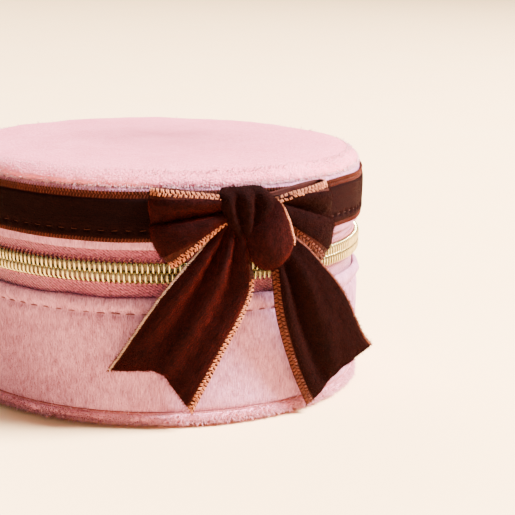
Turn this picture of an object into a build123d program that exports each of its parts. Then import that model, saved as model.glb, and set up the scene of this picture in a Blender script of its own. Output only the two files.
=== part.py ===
from build123d import *
import os
from math import cos, radians, sin

# Round zip-up case for jewellery or make-up: a stiff drum in plush velvet whose lid opens on a cloth
# hinge at the back. A velvet ribbon with a tied bow goes round the lid, and a coil zip closes it.
# Millimetres, +Z up. The origin is the centre of the foot, the bow is at the front on -Y and the
# hinge is at the back on +Y. An angle round the case is measured from -Y towards +X.

# --- driving dimensions -------------------------------------------------------------------------
CASE_R = 45.0  # outer face of the wall velvet
ZIP_Z = 32.5  # middle of the zip, where the case parts

# the layers of the wall, from the outside in
VELVET_T = 1.1
TAPE_T = 0.4
BOARD_T = 1.1
LINING_T = 0.9
LAYER_GAP = 0.1

# heights
FOOT_SEAM_Z = 3.0
BASE_EDGE_Z = 27.4  # folded edge of the base velvet, under the zip
LID_EDGE_Z = 36.8  # folded edge of the lid velvet, over the zip
TOP_SEAM_Z = 49.8
CROWN_Z = 54.5
SHOULDER_R = 38.6
SHOULDER_Z = 53.7

# zip
COIL_W = 1.9  # one row of the coil
COIL_T = 1.6
ROW_GAP = 0.5  # between the two rows, where the slider's wedge passes
TAPE_H = 12.5
HINGE_HALF = 28.0  # half the angle that the cloth hinge takes at the back
COIL_HALF = 149.0  # the coil runs this far round from the front, each way
STOP_ARC = 1.6
PARK = 142.5  # where the slider rests with the zip closed

# ribbon and bow
RIBBON_LOW = 38.9
RIBBON_HIGH = 49.3
RIBBON_T = 0.9
BOW_CLEAR_R = 49.4  # nothing of the bow hangs nearer than this over the zip
BOW_CLEAR_Z = 36.4

# --- radii worked out from them -------------------------------------------------------------------
velvet_in = CASE_R - VELVET_T
tape_out = velvet_in - LAYER_GAP
tape_in = tape_out - TAPE_T
board_out = tape_in - LAYER_GAP
board_in = board_out - BOARD_T
lining_out = board_in - LAYER_GAP
lining_in = lining_out - LINING_T
coil_out = tape_out + COIL_T
ribbon_in = CASE_R + 0.05
ribbon_out = ribbon_in + RIBBON_T

os.makedirs("parts", exist_ok=True)
pieces = []


def keep(builder, name):
    """Labels a finished piece and lists it for export."""
    builder.part.label = name
    pieces.append(builder.part)


def point_at(angle, radius):
    """The point of the plan at that angle round the case."""
    return (radius * sin(radians(angle)), -radius * cos(radians(angle)))


def sector(start, end, reach=80.0, steps=8):
    """Corners of a plan sector from start to end, in degrees round the case."""
    turn = (end - start) / steps
    return [(0, 0), *(point_at(start + turn * i, reach) for i in range(steps + 1))]


def ring(inner, outer, low, high, arc=None):
    """A hoop of rectangular section, or the part of it in the arc (start, end)."""
    with BuildPart() as made:
        with BuildSketch(Plane.XY.offset(low)):
            Circle(outer)
            Circle(inner, mode=Mode.SUBTRACT)
            if arc:
                with BuildLine():
                    Polyline(*sector(*arc), close=True)
                make_face(mode=Mode.INTERSECT)
        extrude(amount=high - low)
    return made


def disc(radius, low, high):
    with BuildPart() as made:
        with BuildSketch(Plane.XY.offset(low)):
            Circle(radius)
        extrude(amount=high - low)
    return made


# --- foot ---------------------------------------------------------------------------------------
FOOT_R = 43.2
FOOT_SKIN = 0.8

with BuildPart() as foot_cover:
    # the velvet of the foot turns up round the rim to meet the wall at a seam
    with BuildSketch(Plane.XZ):
        with BuildLine():
            Line((0, 0), (FOOT_R, 0))
            ThreePointArc((FOOT_R, 0), (44.7, 1.1), (44.6, FOOT_SEAM_Z))
            Polyline(
                (44.6, FOOT_SEAM_Z),
                (velvet_in, FOOT_SEAM_Z),
                (velvet_in, FOOT_SKIN),
                (0, FOOT_SKIN),
                (0, 0),
            )
        make_face()
    revolve(axis=Axis.Z)
keep(foot_cover, "foot_cover")

foot_board = disc(board_out, FOOT_SKIN + LAYER_GAP, FOOT_SEAM_Z - LAYER_GAP)
keep(foot_board, "foot_board")

# --- base wall ----------------------------------------------------------------------------------
EDGE_FILLET = 0.45

base_velvet = ring(velvet_in, CASE_R, FOOT_SEAM_Z + 0.05, BASE_EDGE_Z)
with base_velvet:
    fillet(base_velvet.edges().group_by(Axis.Z)[-1], EDGE_FILLET)
    fillet(base_velvet.edges().group_by(Axis.Z)[0].sort_by(SortBy.LENGTH)[-1], EDGE_FILLET)
keep(base_velvet, "base_wall_velvet")

base_board = ring(board_in, board_out, FOOT_SEAM_Z, BASE_EDGE_Z - 0.8)
keep(base_board, "base_wall_board")

base_lining = ring(lining_in, lining_out, FOOT_SEAM_Z, BASE_EDGE_Z - 0.2)
with base_lining:
    fillet(base_lining.edges().group_by(Axis.Z)[-1], 0.35)
keep(base_lining, "base_wall_lining")

# --- inside of the base: floor pad, ring rolls and dividers ---------------------------------------
FLOOR_TOP = 5.0
ROLL_W = 10.8
ROLL_PITCH = 11.4
ROLL_TOP = 17.0
DIVIDER_T = 1.8
DIVIDER_TOP = 23.0
INNER_R = lining_in - 0.15

floor_pad = disc(INNER_R, FOOT_SEAM_Z, FLOOR_TOP)
keep(floor_pad, "floor_pad")

divider_y = -0.5
with BuildPart() as divider_long:
    with BuildSketch(Plane.XY.offset(FLOOR_TOP + 0.05)):
        Circle(INNER_R)
        with Locations((0, divider_y)):
            Rectangle(2 * CASE_R, DIVIDER_T, mode=Mode.INTERSECT)
    extrude(amount=DIVIDER_TOP - FLOOR_TOP)
    fillet(divider_long.edges().filter_by(Axis.X).group_by(Axis.Z)[-1], 0.7)
keep(divider_long, "divider_long")

divider_back = divider_y + DIVIDER_T / 2 + LAYER_GAP
with BuildPart() as divider_short:
    with BuildSketch(Plane.XY.offset(FLOOR_TOP + 0.05)):
        Circle(INNER_R)
        with Locations((0, divider_back)):
            Rectangle(DIVIDER_T, CASE_R, align=(Align.CENTER, Align.MIN), mode=Mode.INTERSECT)
    extrude(amount=DIVIDER_TOP - FLOOR_TOP - 0.5)
    fillet(divider_short.edges().filter_by(Axis.Y).group_by(Axis.Z)[-1], 0.7)
keep(divider_short, "divider_short")

roll_start = divider_y - DIVIDER_T / 2 - 0.3 - ROLL_W / 2
for number in range(3):
    roll_y = roll_start - number * ROLL_PITCH
    # a roll of foam with a round top, cut to the curve of the wall
    with BuildPart() as ring_roll:
        with BuildSketch(Plane.YZ.offset(-CASE_R)):
            with Locations((roll_y, ROLL_TOP - ROLL_W / 2)):
                Circle(ROLL_W / 2)
            with Locations((roll_y, FLOOR_TOP + 0.05)):
                Rectangle(
                    ROLL_W,
                    ROLL_TOP - ROLL_W / 2 - FLOOR_TOP,
                    align=(Align.CENTER, Align.MIN),
                )
        extrude(amount=2 * CASE_R)
        with BuildSketch(Plane.XY):
            Circle(INNER_R - 0.2)
        extrude(amount=ROLL_TOP + 1, mode=Mode.INTERSECT)
    keep(ring_roll, f"ring_roll_{number + 1}")

# --- zip tapes, coils and stops -------------------------------------------------------------------
tape_end = 180.0 - HINGE_HALF - 0.3
lower_row_top = ZIP_Z - ROW_GAP / 2
upper_row_low = ZIP_Z + ROW_GAP / 2

lower_tape = ring(tape_in, tape_out, lower_row_top - TAPE_H, lower_row_top, (-tape_end, tape_end))
keep(lower_tape, "zip_tape_lower")
upper_tape = ring(tape_in, tape_out, upper_row_low, upper_row_low + TAPE_H, (-tape_end, tape_end))
keep(upper_tape, "zip_tape_upper")

lower_coil = ring(tape_out, coil_out, lower_row_top - COIL_W, lower_row_top, (-COIL_HALF, COIL_HALF))
keep(lower_coil, "zip_coil_lower")
upper_coil = ring(tape_out, coil_out, upper_row_low, upper_row_low + COIL_W, (-COIL_HALF, COIL_HALF))
keep(upper_coil, "zip_coil_upper")


def stops(low, high):
    """The two metal clamps at the ends of one row of the coil."""
    with BuildPart() as made:
        for side in (-1, 1):
            near = side * (COIL_HALF + 0.1)
            far = side * (COIL_HALF + 0.1 + STOP_ARC)
            with BuildSketch(Plane.XY.offset(low)):
                Circle(coil_out + 0.1)
                Circle(tape_out, mode=Mode.SUBTRACT)
                with BuildLine():
                    Polyline(*sector(min(near, far), max(near, far)), close=True)
                make_face(mode=Mode.INTERSECT)
            extrude(amount=high - low)
    return made


lower_stops = stops(lower_row_top - COIL_W, lower_row_top)
keep(lower_stops, "zip_stops_lower")
upper_stops = stops(upper_row_low, upper_row_low + COIL_W)
keep(upper_stops, "zip_stops_upper")

# --- cloth hinge at the back, in the two halves that meet at its fold ------------------------------
hinge_arc = (180.0 - HINGE_HALF, 180.0 + HINGE_HALF)
HINGE_GAP = 0.15

hinge_lower = ring(velvet_in, CASE_R - 0.1, BASE_EDGE_Z + 0.02, ZIP_Z - HINGE_GAP, hinge_arc)
keep(hinge_lower, "hinge_cloth_lower")
hinge_upper = ring(velvet_in, CASE_R - 0.1, ZIP_Z + HINGE_GAP, LID_EDGE_Z - 0.02, hinge_arc)
keep(hinge_upper, "hinge_cloth_upper")

# --- lid wall -----------------------------------------------------------------------------------
lid_velvet = ring(velvet_in, CASE_R, LID_EDGE_Z, TOP_SEAM_Z - 0.05)
with lid_velvet:
    fillet(lid_velvet.edges().group_by(Axis.Z)[0], EDGE_FILLET)
    fillet(lid_velvet.edges().group_by(Axis.Z)[-1].sort_by(SortBy.LENGTH)[-1], EDGE_FILLET)
keep(lid_velvet, "lid_wall_velvet")

lid_board = ring(board_in, board_out, LID_EDGE_Z + 0.6, TOP_SEAM_Z - 0.4)
keep(lid_board, "lid_wall_board")

# --- lid top: board, foam and the domed velvet panel -----------------------------------------------
TOP_SKIN = 0.9
SEAM_R = 44.2
TOP_BOARD_R = 42.2
TOP_BOARD_LOW = TOP_SEAM_Z - 0.3
TOP_BOARD_HIGH = 51.1


def crown_line(drop):
    """The lid's domed top from its middle to its rim, sunk by that much."""
    middle = SHOULDER_R / 2
    sag = (CROWN_Z - SHOULDER_Z) / 4
    rim_x = SEAM_R - drop
    shoulder_x = SHOULDER_R - 0.4 * drop
    ThreePointArc(
        (0, CROWN_Z - drop), (middle, CROWN_Z - sag - drop), (shoulder_x, SHOULDER_Z - drop)
    )
    ThreePointArc(
        (shoulder_x, SHOULDER_Z - drop),
        (rim_x - 1.1, SHOULDER_Z - 1.5 - 0.6 * drop),
        (rim_x, TOP_SEAM_Z),
    )
    return rim_x


with BuildPart() as top_velvet:
    with BuildSketch(Plane.XZ):
        with BuildLine():
            outer_rim = crown_line(0)
            inner_rim = crown_line(TOP_SKIN)
            Line((outer_rim, TOP_SEAM_Z), (inner_rim, TOP_SEAM_Z))
            Line((0, CROWN_Z), (0, CROWN_Z - TOP_SKIN))
        make_face()
    revolve(axis=Axis.Z)
keep(top_velvet, "lid_top_velvet")

top_board = disc(TOP_BOARD_R, TOP_BOARD_LOW, TOP_BOARD_HIGH)
keep(top_board, "lid_top_board")

with BuildPart() as top_foam:
    with BuildSketch(Plane.XZ):
        with BuildLine():
            foam_rim = crown_line(TOP_SKIN + LAYER_GAP)
            Line((foam_rim, TOP_SEAM_Z), (0, TOP_SEAM_Z))
            Line((0, TOP_SEAM_Z), (0, CROWN_Z - TOP_SKIN - LAYER_GAP))
        make_face()
    revolve(axis=Axis.Z)
    with BuildSketch(Plane.XY):
        Circle(CASE_R)
    extrude(amount=TOP_BOARD_HIGH + 0.05, mode=Mode.SUBTRACT)
keep(top_foam, "lid_top_foam")

# --- inside of the lid: lining, backing board, mirror and its padded rim --------------------------
MIRROR_R = 33.5
MIRROR_T = 1.5
BACKING_T = 1.7
RIM_LIP = 1.2
backing_high = TOP_BOARD_LOW - 0.1
backing_low = backing_high - BACKING_T
mirror_high = backing_low - 0.05
mirror_low = mirror_high - MIRROR_T

lid_lining = ring(lining_in, lining_out, LID_EDGE_Z + 0.2, backing_low - 0.05)
with lid_lining:
    fillet(lid_lining.edges().group_by(Axis.Z)[0], 0.35)
keep(lid_lining, "lid_wall_lining")

mirror_backing = disc(board_in - 0.05, backing_low, backing_high)
keep(mirror_backing, "mirror_backing")

mirror = disc(MIRROR_R, mirror_low, mirror_high)
with mirror:
    chamfer(mirror.edges().group_by(Axis.Z)[0], 0.4)
keep(mirror, "mirror")

with BuildPart() as mirror_rim:
    # a soft hoop that laps over the edge of the glass
    with BuildSketch(Plane.XZ):
        with BuildLine():
            lap = MIRROR_R - RIM_LIP
            side = MIRROR_R + 0.1
            under = mirror_low - 0.05
            Polyline(
                (lap, under),
                (side, under),
                (side, mirror_high),
                (INNER_R, mirror_high),
                (INNER_R, under - 0.9),
            )
            ThreePointArc((INNER_R, under - 0.9), ((INNER_R + lap) / 2, under - 1.7), (lap, under))
        make_face()
    revolve(axis=Axis.Z)
keep(mirror_rim, "mirror_rim")

# --- ribbon round the lid -------------------------------------------------------------------------
ribbon = ring(ribbon_in, ribbon_out, RIBBON_LOW, RIBBON_HIGH)
with ribbon:
    fillet(ribbon.edges().sort_by(SortBy.LENGTH)[-2:], 0.3)
keep(ribbon, "ribbon_band")

# --- bow: knot, two loops and two tails ------------------------------------------------------------
KNOT_BACK = ribbon_out + 0.15
KNOT_FRONT = 54.6
LOOP_BACK = ribbon_out + 0.3
LOOP_FRONT = 53.0
LOOP_T = 1.1
LOOP_REACH = 18.0
TAIL_T = 1.2

with BuildPart() as knot:
    with BuildSketch(Plane.XZ.offset(KNOT_BACK)):
        with BuildLine():
            Polyline(
                (-10.9, 50.4),
                (-2.0, 50.6),
                (0.6, 47.6),
                (4.8, 39.4),
                (3.8, BOW_CLEAR_Z),
                (-2.8, BOW_CLEAR_Z),
                (-6.0, 42.6),
                (-10.2, 44.6),
                close=True,
            )
        make_face()
        fillet(vertices(), 1.0)
    extrude(amount=KNOT_FRONT - KNOT_BACK)
    fillet(knot.faces().sort_by(Axis.Y)[0].edges(), 1.5)
keep(knot, "bow_knot")


def front_prism(outline):
    """A block that reaches forward from the middle of the case, with the outline that those
    corners, each an angle round the case and a height, give it seen from the front."""
    corners = [(point_at(angle, BOW_CLEAR_R)[0], height) for angle, height in outline]
    with BuildPart() as made:
        with BuildSketch(Plane.XZ):
            with BuildLine():
                Polyline(*corners, close=True)
            make_face()
            fillet(vertices(), 0.6)
        extrude(amount=1.5 * CASE_R)
    return made.part


def loop_plan(root, tip, inset):
    """The outline of a bow loop in plan, from its root at the knot out to its folded tip."""
    back_r = LOOP_BACK + inset
    front_r = LOOP_FRONT - inset
    bend = (tip - root) * LOOP_T / LOOP_REACH
    start, end = root, tip - bend * inset / LOOP_T
    with BuildSketch(Plane.XY) as plan:
        with BuildLine():
            ThreePointArc(
                point_at(start, back_r), point_at((start + end) / 2, back_r), point_at(end, back_r)
            )
            ThreePointArc(
                point_at(end, back_r),
                point_at(end + bend * 0.6, (back_r + front_r - 1) / 2),
                point_at(end - 2 * bend, front_r - 0.6),
            )
            ThreePointArc(
                point_at(end - 2 * bend, front_r - 0.6),
                point_at((start + end) / 2, front_r),
                point_at(start, front_r - 1.2),
            )
            Line(point_at(start, front_r - 1.2), point_at(start, back_r))
        make_face()
    return plan.sketch


def bow_loop(outline, root, tip):
    """A loop of ribbon, open from below and above, between two angles round the case."""
    with BuildPart() as made:
        extrude(loop_plan(root, tip, 0), amount=CROWN_Z)
        extrude(loop_plan(root, tip, LOOP_T), amount=CROWN_Z, mode=Mode.SUBTRACT)
        add(front_prism(outline), mode=Mode.INTERSECT)
        with BuildSketch(Plane.XY):
            Circle(BOW_CLEAR_R)
        extrude(amount=BOW_CLEAR_Z, mode=Mode.SUBTRACT)
        add(knot.part, mode=Mode.SUBTRACT)
    return made


def bow_tail(outline):
    """A flat end of ribbon that hangs clear of the wall."""
    with BuildPart() as made:
        with BuildSketch(Plane.XY):
            Circle(BOW_CLEAR_R + 0.2 + TAIL_T)
            Circle(BOW_CLEAR_R + 0.2, mode=Mode.SUBTRACT)
        extrude(amount=TOP_SEAM_Z)
        add(front_prism(outline), mode=Mode.INTERSECT)
        add(knot.part, mode=Mode.SUBTRACT)
    return made


left_loop = bow_loop(
    [(-5, 49.5), (-14.4, 49.8), (-31, 51.2), (-31, 42.4), (-22.9, 35.0), (-11.7, 43.6), (-5, 44.6)],
    root=-6,
    tip=-28.3,
)
keep(left_loop, "bow_loop_left")

right_loop = bow_loop(
    [(0.5, 48.3), (10, 49.6), (24, 50.8), (24, 42.0), (14.5, 34.0), (7.4, 38.5), (2.5, 43)],
    root=1,
    tip=20.9,
)
keep(right_loop, "bow_loop_right")

left_tail = bow_tail(
    [
        (-6.4, 42.0),
        (-4.6, 36.4),
        (-4.4, 30.4),
        (-9.6, 17.0),
        (-16.6, 4.0),
        (-24.4, 14.0),
        (-35.6, 13.0),
        (-29.6, 22.0),
        (-24.0, 31.2),
        (-16.0, 37.6),
        (-11.4, 42.6),
    ]
)
keep(left_tail, "bow_tail_left")

right_tail = bow_tail(
    [
        (0.8, 37.6),
        (5.6, 38.0),
        (12.6, 33.0),
        (19.8, 26.8),
        (23.6, 21.2),
        (32.2, 13.6),
        (22.6, 11.0),
        (15.0, 1.8),
        (6.6, 14.6),
        (2.0, 25.8),
    ]
)
keep(right_tail, "bow_tail_right")

# --- zip slider and its pull, built where they rest --------------------------------------------------
SLIDER_L = 8.4
SLIDER_W = 5.2
PLATE_T = 0.75
INNER_FACE = tape_in - 0.45  # outer face of the plate inside the tape
OUTER_FACE = coil_out + 0.5  # inner face of the plate over the coil
LUG_L = 5.6
LUG_W = 1.4
LUG_H = 2.2
LUG_WINDOW = 3.8
WINDOW_H = 1.5
WEDGE_T = 0.3


def park_plane(radius):
    """A plane across the slider at that radius: X along the zip, Y up, Z outwards."""
    x, y = point_at(PARK, radius)
    out = (sin(radians(PARK)), -cos(radians(PARK)), 0)
    along = (cos(radians(PARK)), sin(radians(PARK)), 0)
    return Plane(origin=(x, y, ZIP_Z), x_dir=along, z_dir=out)


plate_outline = [
    (-SLIDER_L / 2, -SLIDER_W * 0.40),
    (-SLIDER_L / 2, SLIDER_W * 0.40),
    (SLIDER_L * 0.12, SLIDER_W / 2),
    (SLIDER_L / 2, SLIDER_W * 0.36),
    (SLIDER_L / 2, -SLIDER_W * 0.36),
    (SLIDER_L * 0.12, -SLIDER_W / 2),
]

with BuildPart() as slider:
    for face in (INNER_FACE - PLATE_T, OUTER_FACE):
        with BuildSketch(park_plane(face)):
            with BuildLine():
                Polyline(*plate_outline, close=True)
            make_face()
            fillet(vertices(), 0.8)
        extrude(amount=PLATE_T)
    # the wedge that parts the rows joins the plates at the slider's mouth
    with BuildSketch(park_plane(INNER_FACE - 0.1)):
        with Locations((SLIDER_L / 2 - 1.7, 0)):
            Rectangle(2.2, WEDGE_T)
    extrude(amount=OUTER_FACE - INNER_FACE + 0.2)
    # the bridge that the pull hangs on
    with BuildSketch(park_plane(OUTER_FACE + PLATE_T - 0.05)):
        Rectangle(LUG_L, LUG_W)
    extrude(amount=LUG_H + 0.05)
    with BuildSketch(park_plane(OUTER_FACE + PLATE_T)):
        Rectangle(LUG_WINDOW, LUG_W + 1)
    extrude(amount=WINDOW_H, mode=Mode.SUBTRACT)
keep(slider, "slider_body")

pin_r = OUTER_FACE + PLATE_T + WINDOW_H / 2
PIN_D = 0.8
ARM_W = 1.0
EYE_W = LUG_W + 0.5
TAB_L = 14.0
TAB_W = 5.0
TAB_T = 0.8
TAB_LEAN = 4.5  # the pull leans in to follow the curve of the zip
EYE_L = 4.6  # from the pin to the far side of the eye

pin_x, pin_y = point_at(PARK, pin_r)
lean_angle = PARK - TAB_LEAN
pull_plane = Plane(
    origin=(pin_x, pin_y, ZIP_Z),
    x_dir=(-cos(radians(lean_angle)), -sin(radians(lean_angle)), 0),
    z_dir=(sin(radians(lean_angle)), -cos(radians(lean_angle)), 0),
)
eye_span = EYE_W + 2 * ARM_W

with BuildPart() as pull:
    with BuildSketch(pull_plane.offset(-TAB_T / 2)):
        Rectangle(EYE_L + 1.2, eye_span, align=(Align.MIN, Align.CENTER))
        with Locations(((EYE_L + TAB_L) / 2, 0)):
            RectangleRounded(TAB_L - EYE_L, TAB_W, 1.6)
        Rectangle(EYE_L, EYE_W, align=(Align.MIN, Align.CENTER), mode=Mode.SUBTRACT)
    extrude(amount=TAB_T)
    # the round pin that turns in the slider's bridge
    with BuildSketch(Plane.XY.offset(ZIP_Z - eye_span / 2)):
        with Locations((pin_x, pin_y)):
            Circle(PIN_D / 2)
    extrude(amount=eye_span)
keep(pull, "slider_pull")

for piece in pieces:
    export_step(piece, f"parts/{piece.label}.step")
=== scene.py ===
from math import cos, pi, radians, sin, tau

import bmesh
import bpy
import numpy as np
from mathutils import Matrix, Vector


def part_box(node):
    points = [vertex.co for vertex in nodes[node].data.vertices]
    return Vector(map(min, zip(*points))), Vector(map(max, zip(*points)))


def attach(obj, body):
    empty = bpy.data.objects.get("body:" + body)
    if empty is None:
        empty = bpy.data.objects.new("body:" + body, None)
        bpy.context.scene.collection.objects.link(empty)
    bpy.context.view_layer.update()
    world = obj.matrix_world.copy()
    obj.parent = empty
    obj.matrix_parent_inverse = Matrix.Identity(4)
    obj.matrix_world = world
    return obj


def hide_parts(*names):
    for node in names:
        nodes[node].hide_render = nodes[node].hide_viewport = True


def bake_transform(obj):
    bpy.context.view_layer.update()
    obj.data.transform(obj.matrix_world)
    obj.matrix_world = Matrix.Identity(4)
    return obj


# A round zip-up case in plush velvet, dressed on its CAD frame. Lengths are millimetres, and turn into
# metres where a mesh is made; only the cloth's cut sizes, the lights and the camera are in metres. An
# angle round the case runs from the front (-Y) towards +X, and a place on the bow is (arc, height,
# stand-off): along the wall from the middle of the front, up, and out from the wall.

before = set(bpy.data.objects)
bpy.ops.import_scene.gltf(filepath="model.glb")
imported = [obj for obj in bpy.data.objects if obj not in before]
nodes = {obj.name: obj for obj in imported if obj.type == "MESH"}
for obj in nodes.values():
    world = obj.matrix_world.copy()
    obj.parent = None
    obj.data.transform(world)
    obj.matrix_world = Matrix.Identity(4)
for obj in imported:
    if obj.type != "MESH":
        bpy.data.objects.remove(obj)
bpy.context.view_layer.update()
MM = 0.001


# --- sizes read from the frame --------------------------------------------------------------------
def span(node):
    """A CAD node's lowest and highest corners in millimetres."""
    low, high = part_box(node)
    return np.round(np.array(low) / MM, 2), np.round(np.array(high) / MM, 2)


CASE_R = span("base_wall_velvet")[1][0]
BASE_LOW, BASE_EDGE = span("base_wall_velvet")[0][2], span("base_wall_velvet")[1][2]
LID_EDGE, LID_TOP = span("lid_wall_velvet")[0][2], span("lid_wall_velvet")[1][2]
CROWN = span("lid_top_velvet")[1][2]
RIBBON_LOW, RIBBON_HIGH = span("ribbon_band")[0][2], span("ribbon_band")[1][2]
RIBBON_R = span("ribbon_band")[1][0]
TAPE_R = span("zip_tape_lower")[1][0]
LOWER_ROW = span("zip_coil_lower")
UPPER_ROW = span("zip_coil_upper")
ZIP_Z = (LOWER_ROW[1][2] + UPPER_ROW[0][2]) / 2
COIL_R = UPPER_ROW[1][0]
# two arcs in degrees that the boxes don't tell, as in the part's source
COIL_HALF = 149.0  # the coil runs this far from the front, each way
HINGE_HALF = 28.0  # and the cloth hinge this far from the back


# --- geometry helpers -----------------------------------------------------------------------------
AXIS_R = 0.02  # a turned disc starts this near its axis, and is welded there


def waves(points, length, seed, count=9):
    """A smooth random height, about -1 to 1, at each point, with hills about that length across."""
    rng = np.random.default_rng(seed)
    total = np.zeros(points.shape[:-1])
    for _ in range(count):
        way = rng.normal(size=points.shape[-1])
        way *= tau / (length * rng.uniform(0.7, 1.5) * np.linalg.norm(way))
        total += np.sin(points @ way + rng.uniform(0, tau))
    return total * (2 / count) ** 0.5


def on_case(angle, r, z):
    """Points at those angles in radians round the case, radii and heights."""
    return np.stack(np.broadcast_arrays(r * np.sin(angle), -r * np.cos(angle), z), axis=-1)


def hill(value, middle, width):
    """A soft bump of height 1 round the middle value."""
    return np.exp(-(((value - middle) / width) ** 2))


def wavy(depth, length, seed):
    """A lathe shape whose radius wanders by about that depth, in hills about that length across."""
    return lambda angle, r, z: (r + depth * waves(on_case(angle, r, z), length, seed), z)


def off_wall(places):
    """Points of the bow from (arc, height, stand-off)."""
    return on_case(places[..., 0] / CASE_R, CASE_R + places[..., 2], places[..., 1])


def through(control, count):
    """A smooth line of count points through the control points on the first axis."""
    control = np.asarray(control, float)
    padded = np.concatenate([2 * control[:1] - control[1:2], control, 2 * control[-1:] - control[-2:-1]])
    at = np.linspace(0, len(control) - 1, count)
    k = np.minimum(at.astype(int), len(control) - 2)
    t = (at - k).reshape(-1, *[1] * (control.ndim - 1))
    a, b, c, d = (padded[k + i] for i in range(4))
    return 0.5 * (2 * b + (c - a) * t + (2 * a - 5 * b + 4 * c - d) * t**2 + (3 * b - a - 3 * c + d) * t**3)


def outline(corners, step=0.35, rounding=2):
    """A closed outline through those corners with a point every step, its corners rounded off."""
    corners = np.asarray(corners, float)
    ring = np.concatenate([corners, corners[:1]])
    along = np.concatenate([[0], np.cumsum(np.linalg.norm(np.diff(ring, axis=0), axis=1))])
    at = np.linspace(0, along[-1], max(8, int(along[-1] / step)), endpoint=False)
    line = np.stack([np.interp(at, along, ring[:, k]) for k in range(2)], axis=1)
    for _ in range(rounding):
        line = (np.roll(line, 1, 0) + 2 * line + np.roll(line, -1, 0)) / 4
    return line


def new_piece(name, points, faces, paints, uvs=None, paint_of=None, weld=False):
    """A mesh object from points in millimetres. uvs has one (u, v) for each corner of each face."""
    mesh = bpy.data.meshes.new(name)
    mesh.from_pydata((np.asarray(points).reshape(-1, 3) * MM).tolist(), [], faces)
    for paint in paints if isinstance(paints, (list, tuple)) else [paints]:
        mesh.materials.append(paint)
    if uvs is not None:
        layer = mesh.uv_layers.new(name="cloth")
        layer.data.foreach_set("uv", (np.asarray(uvs, np.float32) * MM).ravel())
    if paint_of is not None:
        mesh.polygons.foreach_set("material_index", np.asarray(paint_of, np.int32))
    mesh.polygons.foreach_set("use_smooth", np.ones(len(mesh.polygons), bool))
    work = bmesh.new()
    work.from_mesh(mesh)
    if weld:
        bmesh.ops.remove_doubles(work, verts=work.verts, dist=0.00001)
    bmesh.ops.recalc_face_normals(work, faces=work.faces)
    work.to_mesh(mesh)
    work.free()
    piece = bpy.data.objects.new(name, mesh)
    bpy.context.scene.collection.objects.link(piece)
    return piece


def grid_faces(rows, columns, close_rows=False, close_columns=False):
    """Quads over a grid of points, and the row and column of each corner, unwrapped past a join."""
    i, j = np.meshgrid(
        np.arange(rows - (not close_rows)), np.arange(columns - (not close_columns)), indexing="ij"
    )
    i, j = i.ravel(), j.ravel()
    ci = np.stack([i, i + 1, i + 1, i], 1)
    cj = np.stack([j, j, j + 1, j + 1], 1)
    return (ci % rows) * columns + cj % columns, ci, cj


def lathe(name, section, paint, arc=None, steps=720, shape=None, weld=False):
    """Turns a closed section of (radius, height) round the case, or through an arc in degrees.
    shape(angle, r, z) gives the radii and heights that it has at each angle."""
    section = np.asarray(section, float)
    whole = arc is None
    low, high = (-180, 180) if whole else arc
    angles = np.radians(np.linspace(low, high, steps, endpoint=not whole))[:, None]
    r = np.broadcast_to(section[:, 0], (steps, len(section)))
    z = np.broadcast_to(section[:, 1], (steps, len(section)))
    if shape:
        r, z = shape(angles, r, z)
    faces, ci, cj = grid_faces(steps, len(section), close_rows=whole, close_columns=True)
    width = radians(high - low) * CASE_R / (steps - (not whole))
    lengths = np.linalg.norm(np.diff(np.concatenate([section, section[:1]]), axis=0), axis=1)
    along = np.concatenate([[0], np.cumsum(lengths)])
    uvs = np.stack([ci * width, along[cj]], -1).reshape(-1, 2)
    faces = faces.tolist()
    if not whole:
        n = len(section)
        faces += [list(range(n)), list(range((steps - 1) * n, steps * n))]
        uvs = np.concatenate([uvs, np.zeros((2 * n, 2))])
    return new_piece(name, on_case(angles, r, z), faces, paint, uvs, weld=weld)


def cover(name, nodes, section, paint, **settings):
    """A lathe piece that stands for those CAD nodes."""
    piece = lathe(name, section, paint, **settings)
    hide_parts(*nodes)
    return piece


def tubes(name, paths, radius, ups, paint, sides=6):
    """Round threads along paths (thread, point, 3), with radius (point) and an up direction each."""
    paths = np.asarray(paths, float)
    count, length = paths.shape[:2]
    radius = np.broadcast_to(radius, (length,))
    ahead = np.gradient(paths, axis=1)
    ahead /= np.linalg.norm(ahead, axis=-1, keepdims=True) + 1e-12
    across = np.cross(ahead, np.broadcast_to(ups, paths.shape))
    across /= np.linalg.norm(across, axis=-1, keepdims=True) + 1e-12
    up = np.cross(across, ahead)
    turn = np.arange(sides) * tau / sides
    points = (
        paths[:, :, None]
        + radius[None, :, None, None] * np.cos(turn)[:, None] * across[:, :, None]
        + radius[None, :, None, None] * np.sin(turn)[:, None] * up[:, :, None]
    )
    one, ci, cj = grid_faces(length, sides, close_columns=True)
    block = length * sides
    faces = (one[None] + np.arange(count)[:, None, None] * block).reshape(-1, 4).tolist()
    steps = np.linalg.norm(np.diff(paths, axis=1), axis=-1).mean()
    uvs = np.tile(np.stack([ci * steps, cj / sides], -1).reshape(-1, 2), (count, 1))
    ends = []
    for k in range(count):
        ends.append(list(range(k * block, k * block + sides)))
        ends.append(list(range((k + 1) * block - sides, (k + 1) * block)))
    uvs = np.concatenate([uvs, np.zeros((2 * sides * count, 2))])
    return new_piece(name, points, faces + ends, paint, uvs)


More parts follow.
